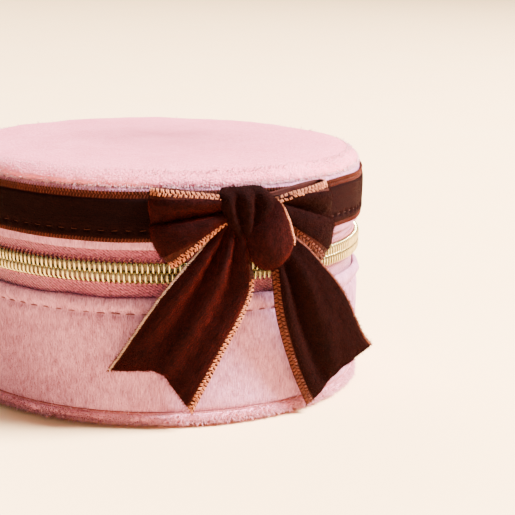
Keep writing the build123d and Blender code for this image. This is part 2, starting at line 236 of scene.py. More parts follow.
def fuzz(name, roots, away, lengths, paint, seed, thick=0.028, floor=None):
    """Loose fibres: one curved, tapering hair at each root, leaning along its away direction."""
    rng = np.random.default_rng(seed)
    count = len(roots)
    start = away + 0.45 * rng.normal(size=(count, 3))
    start /= np.linalg.norm(start, axis=1, keepdims=True)
    bend = 0.5 * rng.normal(size=(count, 3))
    t = np.linspace(0, 1, 4)[None, :, None]
    long = rng.uniform(lengths[0], lengths[1], count)[:, None, None]
    paths = roots[:, None] + long * (start[:, None] * t + bend[:, None] * t**2 * 0.5)
    if floor is not None:
        paths[..., 2] = np.maximum(paths[..., 2], floor)
    ups = np.cross(start, rng.normal(size=(count, 3)))[:, None]
    return tubes(name, paths, thick * np.array([1.0, 0.85, 0.55, 0.15]), ups, paint, sides=3)


def ring_fuzz(name, count, r, z, bulge, lift, lengths, paint, seed, thick=0.028, floor=None):
    """Loose fibres all round the case, on an arc between two (radius, height) places r and z give,
    thinning out towards the second one."""
    rng = np.random.default_rng(seed)
    angle = rng.uniform(-pi, pi, count)
    share = rng.uniform(0, 1, count) ** 1.4
    radius = r[0] + (r[1] - r[0]) * share + bulge * np.sin(pi * share)
    roots = on_case(angle, radius, z[0] + (z[1] - z[0]) * share)
    away = on_case(angle, 1.0, 0.0)
    away[:, 2] = lift[0] + (lift[1] - lift[0]) * share
    return fuzz(name, roots, away, lengths, paint, seed + 1, thick=thick, floor=floor)


# --- materials ------------------------------------------------------------------------------------
class Paint:
    """A material with its node tree, built by short calls."""

    def __init__(self, name, gloss=0.5, **inputs):
        self.material = bpy.data.materials.new(name)
        self.material.use_nodes = True
        self.tree = self.material.node_tree
        self.shader = self.tree.nodes["Principled BSDF"]
        for key, value in inputs.items():
            self.shader.inputs[key.replace("_", " ")].default_value = value
        self.shader.inputs["Specular IOR Level"].default_value = gloss
        self.place = self.tree.nodes.new("ShaderNodeTexCoord")

    def node(self, kind, inputs=(), **settings):
        made = self.tree.nodes.new("ShaderNode" + kind)
        for key, value in settings.items():
            setattr(made, key, value)
        for key, value in dict(inputs).items():
            if isinstance(value, bpy.types.NodeSocket):
                self.tree.links.new(value, made.inputs[key])
            else:
                made.inputs[key].default_value = value
        return made

    def stretched(self, by, coordinates="UV"):
        """Texture coordinates over the pattern's size, one number or one for each direction."""
        scale = tuple(1 / (size * MM) for size in np.broadcast_to(by, 3).tolist())
        return self.node("Mapping", {"Vector": self.place.outputs[coordinates], "Scale": scale}).outputs[0]

    def noise(self, by, coordinates="UV", detail=2.0, roughness=0.5):
        inputs = {
            "Vector": self.stretched(by, coordinates), "Scale": 1.0, "Detail": detail,
            "Roughness": roughness
        }
        return self.node("TexNoise", inputs).outputs["Fac"]

    def bands(self, by, direction, distortion):
        inputs = {"Vector": self.stretched(by), "Scale": 1.0, "Distortion": distortion, "Detail": 2.0}
        return self.node("TexWave", inputs, wave_type="BANDS", bands_direction=direction).outputs["Fac"]

    def spread(self, value, low, high, to_low=0.0, to_high=1.0):
        inputs = {"Value": value, "From Min": low, "From Max": high, "To Min": to_low, "To Max": to_high}
        return self.node("MapRange", inputs).outputs[0]

    def math(self, operation, a, b=0.0):
        return self.node("Math", {0: a, 1: b}, operation=operation).outputs[0]

    def mix(self, share, a, b):
        made = self.tree.nodes.new("ShaderNodeMix")
        made.data_type = "RGBA"
        self.tree.links.new(share, made.inputs["Factor"])
        for socket, value in ((made.inputs["A"], a), (made.inputs["B"], b)):
            if isinstance(value, bpy.types.NodeSocket):
                self.tree.links.new(value, socket)
            else:
                socket.default_value = value
        return made.outputs["Result"]

    def colour(self, socket):
        self.tree.links.new(socket, self.shader.inputs["Base Color"])

    def roughness(self, socket):
        self.tree.links.new(socket, self.shader.inputs["Roughness"])

    def bumps(self, *layers):
        """Bump layers (height, strength, depth in millimetres), the first one lowest."""
        normal = None
        for height, strength, depth in layers:
            inputs = {"Height": height, "Strength": strength, "Distance": depth * MM}
            if normal is not None:
                inputs["Normal"] = normal
            normal = self.node("Bump", inputs).outputs[0]
        self.tree.links.new(normal, self.shader.inputs["Normal"])


def rgb(red, green, blue):
    """A display colour from 0 to 255 as the linear colour that Blender wants."""
    parts = [c / 255 for c in (red, green, blue)]
    return tuple(c / 12.92 if c <= 0.04045 else ((c + 0.055) / 1.055) ** 2.4 for c in parts) + (1.0,)


def velvet(name, deep, pale, sheen, tint, nap, patch, space="Object", bump=0.7, gloss=0.1, streak=0.7):
    """Plush with tufts nap = (along, across) millimetres, brushed into patches of that size. The tufts'
    own shade varies by streak of the way from deep to pale."""
    paint = Paint(name, gloss, Roughness=0.85, Sheen_Weight=sheen, Sheen_Roughness=0.3, Sheen_Tint=tint)
    tufts = paint.noise((nap[0], nap[1], 1), detail=3, roughness=0.65)
    fine = paint.noise((nap[0] * 0.4, nap[1] * 0.3, 1), detail=2)
    brushed = paint.noise(patch, space, detail=5, roughness=0.65)
    clumps = paint.noise((nap[0] * 5, nap[1] * 2, 1), detail=3, roughness=0.6)
    shade = paint.math(
        "ADD", paint.spread(brushed, 0.3, 0.7, 0.08, 0.45), paint.spread(clumps, 0.3, 0.7, -0.15, 0.3)
    )
    shade = paint.math("ADD", shade, paint.spread(tufts, 0.25, 0.75, 0.1 - streak / 2, 0.1 + streak / 2))
    paint.colour(paint.mix(shade, deep, pale))
    layers = (brushed, bump * 0.5, 0.7), (clumps, bump * 0.4, 0.4), (tufts, bump, 0.42), (fine, bump, 0.12)
    paint.bumps(*layers)
    return paint.material


def woven(name, deep, pale, thread):
    """Twill tape: slanted ribs with a fine thread across them."""
    paint = Paint(name, 0.25, Roughness=0.75, Sheen_Weight=0.3, Sheen_Roughness=0.5)
    ribs = paint.bands((thread * 2.4, thread * 1.5, 1), "DIAGONAL", 1.6)
    threads = paint.bands((thread, thread, 1), "Y", 0.4)
    specks = paint.noise((thread * 1.1, thread * 0.7, 1), detail=3, roughness=0.7)
    weave = paint.math("MULTIPLY", ribs, paint.spread(threads, 0, 1, 0.6, 1))
    shade = paint.math("ADD", paint.math("MULTIPLY", weave, 0.6), paint.spread(specks, 0.3, 0.7, -0.3, 0.8))
    paint.colour(paint.mix(shade, deep, pale))
    paint.bumps((shade, 0.9, 0.25))
    return paint.material


def metal(name, tone, dark, roughness):
    """Plated metal, a little uneven in tone and polish."""
    paint = Paint(name, Metallic=1.0)
    uneven = paint.noise(1.6, "Object", detail=4, roughness=0.6)
    paint.colour(paint.mix(paint.spread(uneven, 0.35, 0.75), tone, dark))
    paint.roughness(paint.spread(uneven, 0.3, 0.7, roughness * 0.8, roughness * 1.25))
    paint.bumps((paint.noise(0.25, "Object", detail=2), 0.08, 0.05))
    return paint.material


def yarn(name, deep, pale, twist=0.35, gloss=0.2):
    """Twisted thread."""
    paint = Paint(name, gloss, Roughness=0.6)
    plies = paint.bands((twist, twist, 1), "DIAGONAL", 0.5)
    uneven = paint.noise(0.9, "Object", detail=3)
    shade = paint.math("MULTIPLY", plies, paint.spread(uneven, 0.3, 0.7, 0.4, 1.2))
    paint.colour(paint.mix(shade, deep, pale))
    paint.bumps((plies, 0.6, 0.06))
    return paint.material


def grey_board():
    """Pressed board with mottled fibres."""
    paint = Paint("grey_board", Roughness=0.95)
    fibres = paint.noise(1.2, "Object", detail=6, roughness=0.7)
    paint.colour(paint.mix(paint.spread(fibres, 0.35, 0.65), rgb(142, 128, 112), rgb(172, 158, 142)))
    paint.bumps((fibres, 0.5, 0.15))
    return paint.material


pink_wall = velvet(
    "velvet_wall", rgb(144, 84, 110), rgb(222, 154, 184), 0.2, rgb(252, 180, 208), (0.26, 1.5), 12,
    bump=1.2, streak=0.9
)
pink_foot = velvet(
    "velvet_foot", rgb(212, 116, 140), rgb(250, 172, 196), 0.2, rgb(255, 180, 196), (0.4, 0.7), 9
)
pink_top = velvet(
    "velvet_top", rgb(214, 100, 124), rgb(244, 140, 161), 0.2, rgb(255, 184, 198), (0.5, 0.5), 11, bump=1.1,
    streak=1.0
)
lining = velvet(
    "velvet_lining", rgb(192, 104, 112), rgb(224, 138, 146), 0.2, rgb(255, 180, 188), (0.3, 0.5), 9
)


def ribbon_pile(name, pale, sheen):
    """The ribbon's velvet. The darker copies of it below paint shade into the colour."""
    nap, patch = (0.5, 0.3), (11, 2.2, 1)
    return velvet(name, rgb(10, 2, 2), pale, sheen, rgb(208, 50, 28), nap, patch, "UV", 0.8, gloss=0.02)


ribbon_velvet = ribbon_pile("velvet_ribbon", rgb(37, 8, 8), 0.18)
# a darker copy with less sheen, for the bow's right loop, knot and right tail: painted shade
shaded_ribbon_velvet = ribbon_pile("velvet_ribbon_shaded", rgb(22, 3, 2), 0.03)
# a darker copy for the ribbon round the lid: painted shade
shaded_band_velvet = ribbon_pile("velvet_band_shaded", rgb(20, 5, 5), 0.04)
dark_thread = yarn("dark_thread", rgb(16, 6, 5), rgb(66, 26, 18), twist=0.3, gloss=0.05)
selvedge = yarn("ribbon_selvedge", rgb(26, 8, 6), rgb(66, 22, 14), twist=0.5, gloss=0.05)
band_thread = yarn("band_thread", rgb(40, 13, 8), rgb(112, 46, 30), twist=0.3, gloss=0.1)
picot_thread = yarn("picot_thread", rgb(120, 52, 28), rgb(232, 146, 104), twist=0.3)
# a darker copy of the picot thread: painted shade on the right loop's lower edge and the right tail's
# edges; the tails' frayed ends and edge fibres use it too, as their own dark brown
dark_and_shaded_thread = yarn("dark_and_shaded_thread", rgb(52, 17, 8), rgb(124, 54, 28), twist=0.3)
# a paler, greyer copy of the picot thread: painted highlight on the left tail's outer edge
highlit_thread = yarn("highlit_thread", rgb(120, 84, 72), rgb(206, 168, 152), twist=0.3)
zip_cloth = woven("zip_twill", rgb(94, 24, 48), rgb(188, 88, 122), thread=0.62)
coil_metal = metal("coil_gold", rgb(204, 190, 136), rgb(158, 142, 94), 0.24)
gold_metal = metal("plated_gold", rgb(240, 208, 138), rgb(212, 168, 92), 0.16)
filler = yarn("coil_filler", rgb(112, 90, 68), rgb(184, 160, 130))
hem_thread = yarn("hem_thread", rgb(92, 50, 62), rgb(144, 92, 104), gloss=0.05)
pink_thread = yarn("pink_thread", rgb(170, 84, 92), rgb(220, 140, 148))
pink_fibre = yarn("pink_fibre", rgb(204, 116, 134), rgb(255, 190, 206), gloss=0.1)
# paler fibres for the fuzz on the lid top's rim: painted highlight on the nap
highlit_fibre = yarn("highlit_fibre", rgb(220, 132, 148), rgb(255, 204, 214), gloss=0.1)
# darker fibres for the lower fuzz of the foot: painted shade under the roll
shaded_foot_fibre = yarn("shaded_foot_fibre", rgb(140, 72, 74), rgb(226, 156, 168))
ribbon_fibre = yarn("ribbon_fibre", rgb(14, 4, 3), rgb(50, 12, 6), gloss=0.02)
seam_dark = yarn("seam_thread", rgb(148, 74, 80), rgb(196, 116, 122))
board = grey_board()


def mirror_glass():
    paint = Paint("mirror_glass", Metallic=1.0)
    smudges = paint.noise(9, "Object", detail=4)
    paint.colour(paint.mix(smudges, rgb(232, 236, 238), rgb(246, 248, 250)))
    paint.roughness(paint.spread(smudges, 0.45, 0.8, 0.015, 0.06))
    return paint.material


# --- base -----------------------------------------------------------------------------------------
HEM_Z = BASE_EDGE - 3.5  # the line of stitches that holds the folded edge
STITCHES = 91
STITCH = tau * CASE_R / STITCHES  # from one stitch to the next
WALL_IN = CASE_R - 1.05  # inner face of the walls' velvet


def base_wall_shape(angle, r, z):
    """The wall's velvet puffs above the hem stitches and dips at each of them."""
    outer = np.clip((r - WALL_IN - 0.3) / 0.4, 0, 1)
    arc = angle * CASE_R
    places = on_case(angle, r, z)
    dip = hill(z, HEM_Z, 0.55) * (0.50 - 0.18 * np.cos(arc * tau / STITCH))
    dip = dip * (1 + 0.12 * waves(places, 7, 6))
    puff = 0.42 * hill(z, HEM_Z + 1.8, 1.25) * (1 + 0.25 * waves(places, 5, 2))
    soft = 0.10 * waves(places, 13, 3) + 0.05 * waves(places, 4.5, 4)
    soft = soft * (1 - 0.8 * hill(z, HEM_Z, 0.9))
    lift = 0.16 * waves(places, 16, 5) * np.clip((z - HEM_Z) / 3, 0, 1)
    return r + outer * (puff - dip + soft), z + lift


base_wall = cover(
    "base_wall_cover", ["base_wall_velvet"],
    outline(
        [
            (WALL_IN, BASE_LOW + 0.1), (CASE_R - 0.75, BASE_LOW - 0.05), (CASE_R - 0.1, BASE_LOW + 0.9),
            (CASE_R, BASE_LOW + 3), (CASE_R, BASE_EDGE - 0.8), (CASE_R - 0.35, BASE_EDGE),
            (WALL_IN + 0.1, BASE_EDGE)
        ],
        0.45
    ),
    pink_wall, steps=640, shape=base_wall_shape
)

FOOT_FLAT_R = 41.2


def foot_shape(angle, r, z):
    """Small gathers where the foot's velvet turns up round the rim."""
    rim = np.clip((r - FOOT_FLAT_R) / 1.2, 0, 1) * np.clip(z / 0.8, 0, 1)
    places = on_case(angle, r, z)
    return r + rim * (0.10 * waves(places, 3.2, 8) + 0.08 * waves(places, 11, 9)), z


foot = cover(
    "foot_roll", ["foot_cover"],
    outline(
        [
            (AXIS_R, 0), (FOOT_FLAT_R, 0), (42.9, 0.5), (44.2, 0.95), (44.95, 1.4), (45.1, 1.9),
            (44.8, 2.6), (44.1, 3.0), (43.6, 2.9), (43.5, 0.7), (AXIS_R, 0.7)
        ],
        0.6, 1
    ),
    pink_foot, steps=540, shape=foot_shape, weld=True
)


def running_stitch(name, middle, length, radius, sunk, height, paint, thick, taper=0):
    """Stitches of that length round the case, sunk at their ends and thinner there by the share taper.
    height(angles, t) gives their heights, where t runs from -1 to 1 along each stitch."""
    t = np.linspace(-1, 1, 7)
    angles = middle[:, None] + length / 2 * t / CASE_R
    radius = np.broadcast_to(radius + sunk * (1 - 1.9 * t**4), angles.shape)
    paths = on_case(angles, radius, height(angles, t))
    return tubes(name, paths, thick * (1 - taper * t**6), (0, 0, 1), paint, sides=5)


def hem_stitching():
    middle = np.radians(np.linspace(-180, 180, STITCHES, endpoint=False))

    def height(angles, t):
        return HEM_Z + 0.05 * np.sin(middle * 37)[:, None] + 0.06 * t * np.cos(middle * 53)[:, None]

    return running_stitch("hem_stitches", middle, 2.4, CASE_R - 0.55, 0.12, height, hem_thread, 0.17, 0.5)


# the lower fuzz takes the darker fibres: painted shade under the roll
foot_fuzz_low = ring_fuzz(
    "foot_fuzz_low", 6000, (43.4, 44.9), (0.7, 1.5), 0.1, (-0.7, 0.0), (0.4, 1.1), shaded_foot_fibre, 200,
    thick=0.075, floor=0.08
)
foot_fuzz_high = ring_fuzz(
    "foot_fuzz_high", 9600, (44.9, 44.6), (1.2, 3.1), 0.25, (-0.9, 0.3), (0.4, 1.1), pink_fibre, 210,
    thick=0.075, floor=0.08
)
hem_stitches = hem_stitching()
foot_seam = lathe(
    "foot_seam_cord", outline([(44.0, 2.75), (44.45, 2.85), (44.45, 3.2), (44.0, 3.3)], 0.15, 1), seam_dark,
    steps=480
)


def base_lining_piece():
    low, high = span("base_wall_lining")
    out = high[0]
    return cover(
        "base_lining_cloth", ["base_wall_lining"],
        outline(
            [
                (out - 0.95, low[2] + 0.05), (out - 0.05, low[2] + 0.05), (out + 0.4, high[2] - 1.2),
                (out + 0.5, high[2] - 0.3), (out - 0.1, high[2] + 0.1), (out - 0.8, high[2] - 0.2)
            ],
            0.5, 1
        ),
        lining, steps=480, shape=wavy(0.06, 7, 12)
    )


base_lining = base_lining_piece()


def floor_piece():
    low, high = span("floor_pad")
    out = high[0]

    def shape(angle, r, z):
        return r, z + 0.08 * waves(on_case(angle, r, z), 12, 14) * (z > low[2] + 1)

    return cover(
        "floor_cushion", ["floor_pad"],
        outline(
            [
                (AXIS_R, low[2]), (out - 0.1, low[2]), (out, high[2] - 0.6), (out - 0.8, high[2] - 0.1),
                (AXIS_R, high[2])
            ],
            0.8, 1
        ),
        lining, steps=240, shape=shape, weld=True
    )


floor_cushion = floor_piece()


def roll_piece(number):
    """A ring roll: foam wrapped in velvet, its ends gathered against the wall."""
    node = f"ring_roll_{number}"
    low, high = span(node)
    middle_y, half_w = (low[1] + high[1]) / 2, (high[1] - low[1]) / 2
    along = np.linspace(-1, 1, 121)
    turn = np.linspace(0, tau, 64, endpoint=False)
    inner = 41.0  # how far out their ends reach, just inside the lining
    half_l = np.sqrt(inner**2 - np.minimum(np.abs(middle_y + half_w * np.cos(turn)), inner - 1) ** 2)
    height = high[2] - low[2]
    # the section: a round top on straight sides, with soft lower corners
    y = np.sign(np.cos(turn)) * np.abs(np.cos(turn)) ** 0.75 * half_w
    z = np.where(
        np.sin(turn) > 0, high[2] - half_w + half_w * np.sin(turn),
        high[2] - half_w + (height - half_w) * -np.abs(np.sin(turn)) ** 0.5
    )
    end = 1 - 0.10 * np.abs(along) ** 14
    places = np.stack(
        [
            along[:, None] * half_l[None, :], middle_y + y[None, :] * end[:, None],
            low[2] + (z[None, :] - low[2]) * (1 - 0.06 * np.abs(along[:, None]) ** 14)
        ],
        -1
    )
    swell = 0.12 * waves(places, 9, 20 + number) + 0.05 * waves(places, 3, 30 + number)
    places[..., 2] += swell * (places[..., 2] > low[2] + 3)
    faces, ci, cj = grid_faces(len(along), len(turn), close_columns=True)
    uvs = np.stack(
        [ci * half_l.mean() * 2 / (len(along) - 1), cj * pi * half_w * 2 / len(turn)], -1
    ).reshape(-1, 2)
    n, last = len(turn), (len(along) - 1) * len(turn)
    faces = faces.tolist() + [list(range(n)), list(range(last, last + n))]
    uvs = np.concatenate([uvs, np.zeros((2 * n, 2))])
    piece = new_piece(f"ring_cushion_{number}", places, faces, lining, uvs)
    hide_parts(node)
    return piece


ring_cushions = [roll_piece(number) for number in (1, 2, 3)]


def divider_piece(node, name):
    """A stiff divider wrapped in velvet, with softly rounded edges."""
    low, high = span(node)
    size, middle = high - low, (high + low) / 2
    work = bmesh.new()
    bmesh.ops.create_cube(work, size=1.0)
    bmesh.ops.scale(work, vec=Vector(size * MM), verts=work.verts)
    bmesh.ops.translate(work, vec=Vector(middle * MM), verts=work.verts)
    run = 0 if size[0] > size[1] else 1
    for axis, shortest, cuts in ((run, 0.01, 60), (2, 0.005, 14)):
        edges = [e for e in work.edges if abs((e.verts[0].co - e.verts[1].co)[axis]) > shortest]
        bmesh.ops.subdivide_edges(work, edges=edges, cuts=cuts, use_grid_fill=True)
    mesh = bpy.data.meshes.new(name)
    work.to_mesh(mesh)
    work.free()
    mesh.materials.append(lining)
    uv = mesh.uv_layers.new(name="cloth")
    for loop in mesh.loops:
        place = mesh.vertices[loop.vertex_index].co
        uv.data[loop.index].uv = (place[run], place[2] + place[1 - run])
    mesh.polygons.foreach_set("use_smooth", np.ones(len(mesh.polygons), bool))
    piece = bpy.data.objects.new(name, mesh)
    bpy.context.scene.collection.objects.link(piece)
    bevel = piece.modifiers.new("soft edges", "BEVEL")
    bevel.width, bevel.segments, bevel.limit_method = 0.75 * MM, 4, "ANGLE"
    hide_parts(node)
    return piece


divider_long = divider_piece("divider_long", "divider_across")
divider_short = divider_piece("divider_short", "divider_behind")


# --- zip ------------------------------------------------------------------------------------------
def tape_piece(name, node):
    """A zip tape, from one side of the cloth hinge round to the other."""
    low, high = span(node)
    inner = TAPE_R - 0.4
    tape_half = 180 - HINGE_HALF - 0.4
    return cover(
        name, [node],
        outline([(inner, low[2]), (TAPE_R, low[2]), (TAPE_R, high[2]), (inner, high[2])], 0.5, 0),
        zip_cloth, arc=(-tape_half, tape_half), steps=480, shape=wavy(0.05, 6, 40)
    )


tape_lower = tape_piece("tape_lower", "zip_tape_lower")
tape_upper = tape_piece("tape_upper", "zip_tape_upper")

COIL_PITCH = 1.08
WIRE_R = 0.265


def coil_piece(name, row, side, phase):
    """One row of the zip: a wire in flat loops, whose heads pass between the other row's heads."""
    outer_z = (row[1][2] if side > 0 else row[0][2]) + side * (0.14 - WIRE_R)
    head_z = ZIP_Z - side * (0.34 - WIRE_R)
    middle, half = (outer_z + head_z) / 2, abs(outer_z - head_z) / 2
    arc = radians(2 * COIL_HALF)
    turns = int(arc * CASE_R / COIL_PITCH)
    per_turn = 24
    t = np.arange(turns * per_turn + 1) / per_turn
    swing = tau * t
    across = np.sign(np.cos(swing)) * np.abs(np.cos(swing)) ** 0.8
    deep = (COIL_R - TAPE_R) / 2 - WIRE_R - 0.01
    r = TAPE_R + WIRE_R + deep + deep * np.sign(np.sin(swing)) * np.abs(np.sin(swing)) ** 0.7
    # the loop steps on to the next one at its outer end, mostly on its strand at the back
    late = t + 0.08
    step = np.round(late) + 0.5 * np.sin(np.clip((late - np.round(late)) / 0.3, -1, 1) * pi / 2)
    angle = side * ((0.18 * t + 0.82 * step + phase) * arc / turns - arc / 2)
    path = on_case(angle, r, middle + side * half * across)
    out = on_case(angle, 1.0, 0.0)
    return tubes(name, path[None], WIRE_R, out[None], coil_metal, sides=8)


coil_lower = coil_piece("coil_lower", LOWER_ROW, -1, 0.0)
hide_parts("zip_coil_lower")
coil_upper = coil_piece("coil_upper", UPPER_ROW, 1, 0.5)
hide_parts("zip_coil_upper")


def filler_piece(name, side):
    """The core inside a row's loops."""
    low, high = sorted((ZIP_Z + side * 0.35, ZIP_Z + side * 1.55))
    return lathe(
        name,
        outline(
            [(TAPE_R + 0.1, low), (TAPE_R + 0.7, low), (TAPE_R + 0.7, high), (TAPE_R + 0.1, high)], 0.2, 1
        ),
        filler, arc=(-COIL_HALF, COIL_HALF), steps=420
    )


filler_lower = filler_piece("coil_filler_lower", -1)
filler_upper = filler_piece("coil_filler_upper", 1)


def zip_stitches(name, side):
    """The thread that sews a row to its tape, over every turn of the coil."""
    count = int(radians(2 * COIL_HALF) * CASE_R / COIL_PITCH)
    middle = np.radians(np.linspace(-COIL_HALF, COIL_HALF, count, endpoint=False))
    middle += 0.35 * COIL_PITCH / CASE_R
    t = np.linspace(0, 1, 5)
    angles = middle[:, None] + (t - 0.5) * 0.5 / CASE_R
    radius = TAPE_R + 0.02 + 0.28 * np.sin(pi * t)
    z = ZIP_Z + side * (2.05 + 0.7 * t)
    return tubes(name, on_case(angles, radius, z), 0.14, on_case(angles, 1.0, 0.0), pink_thread, sides=5)


sewing_lower = zip_stitches("coil_sewing_lower", -1)
sewing_upper = zip_stitches("coil_sewing_upper", 1)


def hinge_piece():
    """One strip of velvet from inside the base wall to inside the lid wall, bending in between."""
    inside, out = TAPE_R - 0.1, CASE_R - 0.35
    t = 0.55
    face = [
        (inside, BASE_EDGE - 5), (inside, BASE_EDGE - 1.0), (out - 0.3, BASE_EDGE + 0.6),
        (out, BASE_EDGE + 2.4), (out - 0.1, ZIP_Z), (out, LID_EDGE - 2.4), (out - 0.3, LID_EDGE - 0.6),
        (inside, LID_EDGE + 1.0), (inside, LID_EDGE + 5)
    ]
    back = [(r - t, z) for r, z in reversed(face)]
    return cover(
        "hinge_cloth", ["hinge_cloth_lower", "hinge_cloth_upper"], outline(face + back, 0.35, 2), pink_wall,
        arc=(180 - HINGE_HALF, 180 + HINGE_HALF), steps=120, shape=wavy(0.08, 6, 44)
    )


hinge_cloth = hinge_piece()


# --- lid ------------------------------------------------------------------------------------------
def lid_wall_shape(angle, r, z):
    """The lid wall's velvet is a little uneven, and its lower edge waves."""
    places = on_case(angle, r, z)
    outer = np.clip((r - WALL_IN - 0.3) / 0.4, 0, 1)
    low_edge = np.clip((LID_EDGE + 2 - z) / 2, 0, 1)
    return r + outer * 0.07 * waves(places, 6, 50), z + low_edge * 0.14 * waves(places, 14, 51)


lid_wall = cover(
    "lid_wall_cover", ["lid_wall_velvet"],
    outline(
        [
            (WALL_IN, LID_EDGE + 0.1), (CASE_R - 0.4, LID_EDGE), (CASE_R, LID_EDGE + 0.7),
            (CASE_R, LID_TOP - 0.6), (CASE_R - 0.5, LID_TOP), (WALL_IN, LID_TOP)
        ],
        0.4
    ),
    pink_wall, steps=560, shape=lid_wall_shape
)

TOP_RIM_R = 44.7
TOP_SEAM_Z = 50.6


def top_shape(angle, r, z):
    """The padded top: gentle hills in the middle and small gathers along its seam."""
    places = on_case(angle, r, z)
    flat = places[..., :2]
    face = np.clip((z - TOP_SEAM_Z + 0.1) / 2, 0, 1)
    gather = hill(z, TOP_SEAM_Z, 0.9) * (r > 42)
    rise = face * (0.09 * waves(flat, 26, 60) + 0.04 * waves(flat, 8, 61))
    return r + gather * (0.08 * waves(places, 2.6, 62) + 0.06 * waves(places, 9, 63)), z + rise * (r < 43.5)


top_section = [
    (AXIS_R, CROWN - 0.1), (12, CROWN - 0.18), (24, CROWN - 0.38), (33, CROWN - 0.66), (38.6, CROWN - 0.95),
    (41.6, CROWN - 1.5), (43.4, CROWN - 2.35), (44.4, CROWN - 3.3), (TOP_RIM_R, CROWN - 4.0),
    (44.45, LID_TOP - 0.06), (42.6, LID_TOP - 0.06), (42.0, 51.6), (38, 52.6), (AXIS_R, 53.2)
]
lid_top = cover(
    "lid_top_pad", ["lid_top_velvet", "lid_top_foam"], outline(top_section, 0.55, 2), pink_top, steps=560,
    shape=top_shape, weld=True
)
# the rim's fuzz is paler than the top's velvet: painted highlight
top_fuzz = ring_fuzz(
    "top_fuzz", 9800, (44.6, 41.8), (49.9, 52.9), 0.6, (-0.8, 0.9), (0.3, 0.75), highlit_fibre, 220, thick=0.08
)


def lid_lining_piece():
    low, high = span("lid_wall_lining")
    out = high[0]
    return cover(
        "lid_lining_cloth", ["lid_wall_lining"],
        outline(
            [
                (out - 0.8, low[2] + 0.2), (out - 0.1, low[2] - 0.1), (out + 0.5, low[2] + 0.3),
                (out + 0.4, low[2] + 1.2), (out - 0.05, high[2] - 0.05), (out - 0.95, high[2] - 0.05)
            ],
            0.5, 1
        ),
        lining, steps=480, shape=wavy(0.06, 7, 70)
    )


lid_lining = lid_lining_piece()


def rim_piece():
    """The padded hoop round the mirror."""
    low, high = span("mirror_rim")
    glass = span("mirror")
    lap = glass[1][0] - 1.2
    under = glass[0][2] - 0.05
    out = high[0]
    middle = (out + lap) / 2

    def shape(angle, r, z):
        soft = np.clip((under - z) / 1.0, 0, 1)
        return r, z + soft * (0.10 * waves(on_case(angle, r, z), 6, 80) + 0.06 * np.cos(angle * 60))

    return cover(
        "mirror_cushion", ["mirror_rim"],
        outline(
            [
                (lap, under), (glass[1][0] + 0.1, under), (glass[1][0] + 0.1, high[2]), (out, high[2]),
                (out, under - 0.9), (middle + 2.2, low[2] + 0.15), (middle, low[2]),
                (middle - 2.2, low[2] + 0.2), (lap + 0.5, under - 0.7)
            ],
            0.4, 1
        ),
        lining, steps=420, shape=shape
    )


mirror_cushion = rim_piece()

# --- ribbon band ----------------------------------------------------------------------------------
SELVEDGE = 1.55  # width of the woven edge of the bow's ribbon
NARROW_EDGE = 0.45  # and where the pile curls over most of it
BAND_EDGES = (0.85, 1.45)  # width of the lower and the upper woven edge of the ribbon round the lid
PICOT = 0.98  # from one group of loops of the bow's edge to the next
BAND_PICOT = 0.68  # and of the band's edge
SEWN_Z = RIBBON_LOW + 2.5  # the stitches that hold the ribbon to the lid
SEWN_COUNT = 101
BAND_STEPS = 8 * SEWN_COUNT


def band_dip(angle):
    """How far the ribbon sits above or below its level line: a little low on both sides of the bow."""
    level = on_case(angle, CASE_R, 0 * angle)
    return 0.10 * waves(level, 22, 90) - 0.22 * hill(angle, -1.2, 0.9) - 0.45 * hill(angle, 1.1, 0.7)


def band_shape(angle, r, z):
    """The ribbon waves a little, and its pile is drawn in at the stitches."""
    drawn = 0.26 * hill(z, SEWN_Z, 0.5) * (1 - np.cos(angle * SEWN_COUNT)) * (r > CASE_R + 0.6)
    return r + 0.05 * waves(on_case(angle, r, z), 7, 91) - drawn, z + band_dip(angle)


def band_piece():
    low, high, inner = RIBBON_LOW, RIBBON_HIGH, CASE_R + 0.06
    thin, thick = CASE_R + 0.42, RIBBON_R - 0.05
    section = outline(
        [
            (inner, low), (thin, low), (thin, low + BAND_EDGES[0]), (thick, low + BAND_EDGES[0] + 0.35),
            (thick, high - BAND_EDGES[1] - 0.35), (thin, high - BAND_EDGES[1]), (thin, high), (inner, high)
        ],
        0.24, 1
    )
    # the band's pile is the darker copy of the ribbon velvet: painted shade
    paints = [shaded_band_velvet, selvedge]
    piece = cover("ribbon_round_lid", ["ribbon_band"], section, paints, steps=BAND_STEPS, shape=band_shape)
    middle_z = (section[:, 1] + np.roll(section[:, 1], -1)) / 2
    edge = (middle_z < low + BAND_EDGES[0]) | (middle_z > high - BAND_EDGES[1])
    piece.data.polygons.foreach_set("material_index", np.tile(edge.astype(np.int32), BAND_STEPS))
    return piece


band = band_piece()


def band_picots(name, edge_z, side, width, rows):
    """Rows of thread loops over the ribbon's woven edge, all the way round."""
    count = int(tau * CASE_R / BAND_PICOT)
    rng = np.random.default_rng(rows + 92)
    t = np.linspace(0, 1, 7)
    paths = []
    for row in range(rows):
        middle = (np.arange(count) + 0.5 * row) * tau / count + rng.normal(0, 0.03, count) / CASE_R
        lean = (0.24 if row % 2 else -0.24) * (t - 0.5)
        angles = middle[:, None] + lean / CASE_R
        inner = width * (row + 1) / rows + 0.05
        outer = width * row / rows + (0.12 if row else -0.1)
        z = edge_z + side * (-inner + (inner - outer) * t) + band_dip(angles)
        paths.append(on_case(angles, CASE_R + 0.42 + 0.2 * np.sin(pi * t), z))
    paths = np.concatenate(paths)
    return tubes(name, paths, 0.105, paths * (1, 1, 0), band_thread, sides=5)


picots_low = band_picots("band_edge_low", RIBBON_LOW, -1, BAND_EDGES[0], 1)
picots_high = band_picots("band_edge_high", RIBBON_HIGH, 1, BAND_EDGES[1], 2)


